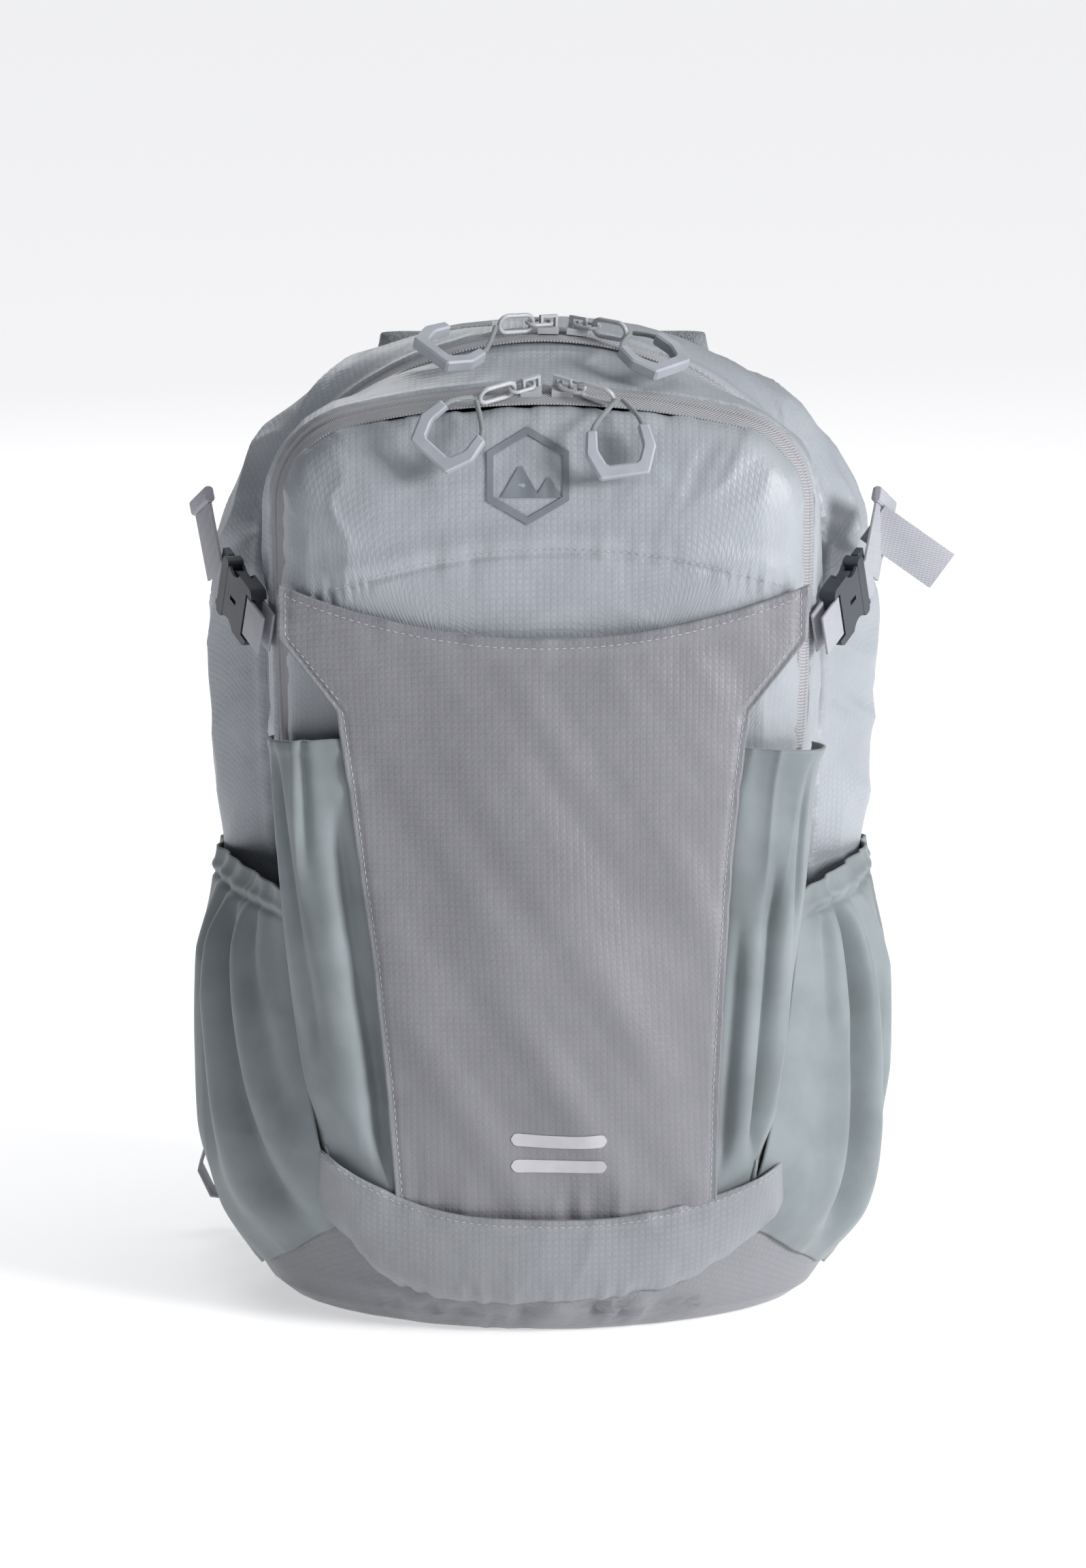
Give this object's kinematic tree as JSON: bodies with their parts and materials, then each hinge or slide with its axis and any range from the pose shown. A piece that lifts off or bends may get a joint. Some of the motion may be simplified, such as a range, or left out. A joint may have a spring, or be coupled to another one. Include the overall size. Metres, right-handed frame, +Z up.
{
  "type": "daypack",
  "caption": "Hiking daypack with arched zipped compartments, front stash pocket, stretch side pockets, side-release buckles, cord zip pulls and padded shoulder straps.",
  "frame": {"origin": "centre of the flat base that the pack stands on", "axes": "+Z up, -Y towards the front panel, +X to the right seen from the front"},
  "size_m": [0.3706, 0.2345, 0.4795],
  "materials": {
    "shell_fabric": "coated ripstop, satin",
    "panel_fabric": "coated ripstop, satin",
    "stretch_fabric": "matte stretch weave",
    "zip_tape": "herringbone tape",
    "mesh_pad": "air mesh over foam",
    "board": "sheet",
    "lining": "plain weave",
    "webbing": "ribbed webbing",
    "dark_plastic": "moulded acetal",
    "painted_zip_metal": "painted zinc",
    "cord": "braided cord",
    "grip_plastic": "moulded plastic"
  },
  "bodies": {
    "pack": {"main_gusset": "shell_fabric", "divider_panel": "shell_fabric", "back_panel": "shell_fabric", "front_gusset": "shell_fabric", "front_panel": "shell_fabric", "base_boot": "shell_fabric", "base_board": "board", "stash_panel": "panel_fabric", "kick_band": "shell_fabric", "main_zip_track": "zip_tape", "front_zip_track": "zip_tape", "lumbar_pad": "mesh_pad", "frame_sheet": "board", "laptop_sleeve": "lining", "strap_anchors": "webbing", "stretch_gusset_left": "stretch_fabric", "side_pocket_left": "stretch_fabric", "pocket_hem_left": "stretch_fabric", "back_pad_left": "mesh_pad", "shoulder_strap_left": "mesh_pad", "ladder_lock_left": "dark_plastic", "strap_webbing_left": "webbing", "buckle_socket_left": "dark_plastic", "flap_webbing_left": "webbing", "stretch_gusset_right": "stretch_fabric", "side_pocket_right": "stretch_fabric", "pocket_hem_right": "stretch_fabric", "back_pad_right": "mesh_pad", "shoulder_strap_right": "mesh_pad", "ladder_lock_right": "dark_plastic", "strap_webbing_right": "webbing", "buckle_socket_right": "dark_plastic", "flap_webbing_right": "webbing"},
    "plug_left": {"buckle_plug_left": "dark_plastic", "compression_webbing_left": "webbing", "strap_fold_left": "shell_fabric"},
    "plug_right": {"buckle_plug_right": "dark_plastic", "compression_webbing_right": "webbing", "strap_fold_right": "shell_fabric"},
    "slider_main_left": {"zip_slider_main_left": "painted_zip_metal"},
    "bail_main_left": {"zip_bail_main_left": "painted_zip_metal"},
    "pull_main_left": {"pull_ring_main_left": "painted_zip_metal", "pull_cord_main_left": "cord", "pull_grip_main_left": "grip_plastic"},
    "slider_main_right": {"zip_slider_main_right": "painted_zip_metal"},
    "bail_main_right": {"zip_bail_main_right": "painted_zip_metal"},
    "pull_main_right": {"pull_ring_main_right": "painted_zip_metal", "pull_cord_main_right": "cord", "pull_grip_main_right": "grip_plastic"},
    "slider_front_left": {"zip_slider_front_left": "painted_zip_metal"},
    "bail_front_left": {"zip_bail_front_left": "painted_zip_metal"},
    "pull_front_left": {"pull_ring_front_left": "painted_zip_metal", "pull_cord_front_left": "cord", "pull_grip_front_left": "grip_plastic"},
    "slider_front_right": {"zip_slider_front_right": "painted_zip_metal"},
    "bail_front_right": {"zip_bail_front_right": "painted_zip_metal"},
    "pull_front_right": {"pull_ring_front_right": "painted_zip_metal", "pull_cord_front_right": "cord", "pull_grip_front_right": "grip_plastic"},
    "haul": {"haul_loop": "webbing"}
  },
  "joints": [
    {"name": "buckle_release_left", "type": "slide", "parent": "pack", "child": "plug_left", "axis": [-0.396, 0.8468, 0.3551], "range_m": [0, 0.026]},
    {"name": "buckle_release_right", "type": "slide", "parent": "pack", "child": "plug_right", "axis": [0.396, 0.8468, 0.3551], "range_m": [0, 0.026]},
    {"name": "zip_travel_main_left", "type": "hinge", "parent": "pack", "child": "slider_main_left", "pos_m": [0, -0.0075, 0.3165], "axis": [0, -1, 0], "range_deg": [0, 8]},
    {"name": "bail_flip_main_left", "type": "hinge", "parent": "slider_main_left", "child": "bail_main_left", "pos_m": [0.00259, -0.0075, 0.47403], "axis": [-0.5075, 0.8192, 0.2672], "range_deg": [0, 60]},
    {"name": "pull_swing_main_left", "type": "hinge", "parent": "bail_main_left", "child": "pull_main_left", "pos_m": [-0.00504, -0.01227, 0.47415], "axis": [-0.8479, -0.5299, 0.0139], "range_deg": [0, 40]},
    {"name": "zip_travel_main_right", "type": "hinge", "parent": "pack", "child": "slider_main_right", "pos_m": [0, -0.0075, 0.3165], "axis": [0, 1, 0], "range_deg": [0, 8]},
    {"name": "bail_flip_main_right", "type": "hinge", "parent": "slider_main_right", "child": "bail_main_right", "pos_m": [0.01658, -0.0075, 0.47318], "axis": [-0.5644, -0.8008, -0.2005], "range_deg": [0, 60]},
    {"name": "pull_swing_main_right", "type": "hinge", "parent": "bail_main_right", "child": "pull_main_right", "pos_m": [0.024, -0.01253, 0.47239], "axis": [-0.8244, 0.5592, 0.0873], "range_deg": [0, 40]},
    {"name": "zip_travel_front_left", "type": "hinge", "parent": "pack", "child": "slider_front_left", "pos_m": [0, -0.063, 0.05], "axis": [0, -1, 0], "range_deg": [0, 10]},
    {"name": "bail_flip_front_left", "type": "hinge", "parent": "slider_front_left", "child": "bail_front_left", "pos_m": [-0.00557, -0.06495, 0.45216], "axis": [-0.4903, 0.6924, 0.5293], "range_deg": [0, 60]},
    {"name": "pull_swing_front_left", "type": "hinge", "parent": "bail_front_left", "child": "pull_front_left", "pos_m": [-0.01334, -0.06916, 0.45047], "axis": [-0.8635, -0.4682, -0.1875], "range_deg": [0, 40]},
    {"name": "zip_travel_front_right", "type": "hinge", "parent": "pack", "child": "slider_front_right", "pos_m": [0, -0.063, 0.05], "axis": [0, 1, 0], "range_deg": [0, 10]},
    {"name": "bail_flip_front_right", "type": "hinge", "parent": "slider_front_right", "child": "bail_front_right", "pos_m": [0.00912, -0.06495, 0.45209], "axis": [-0.495, -0.6924, -0.525], "range_deg": [0, 60]},
    {"name": "pull_swing_front_right", "type": "hinge", "parent": "bail_front_right", "child": "pull_front_right", "pos_m": [0.01687, -0.06916, 0.45034], "axis": [-0.8618, 0.4682, 0.1952], "range_deg": [0, 40]},
    {"name": "haul_loop_lift", "type": "hinge", "parent": "pack", "child": "haul", "pos_m": [0, 0.0837, 0.442], "axis": [1, 0, 0], "range_deg": [0, 70]}
  ]
}
